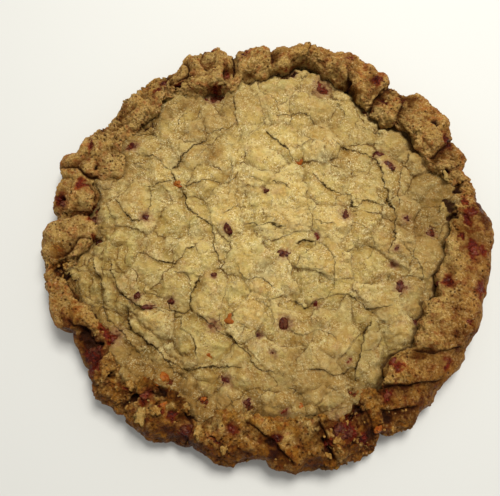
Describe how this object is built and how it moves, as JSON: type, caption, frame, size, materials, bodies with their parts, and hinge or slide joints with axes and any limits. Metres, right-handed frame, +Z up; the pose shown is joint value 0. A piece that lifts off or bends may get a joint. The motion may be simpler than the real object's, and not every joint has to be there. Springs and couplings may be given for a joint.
{
  "type": "cookie cake",
  "caption": "Large round baked cookie with a craggy rolled rim, a pale cracked middle and bits of red fruit baked in, flat underneath",
  "frame": {"origin": "middle of the outline, on the flat underside that rests on the table", "axes": "+Z up; -Y is the side that browned most and is nearest the viewer in the picture; +X is to the right there"},
  "size_m": [0.2962, 0.2916, 0.0288],
  "materials": {
    "pale_dough": "baked dough, matt with a fine sugary sparkle",
    "browned_dough": "browned crust, matt and porous",
    "red_fruit": "sticky baked fruit and jam"
  },
  "bodies": {
    "root": {"cookie": "pale_dough"}
  },
  "joints": []
}
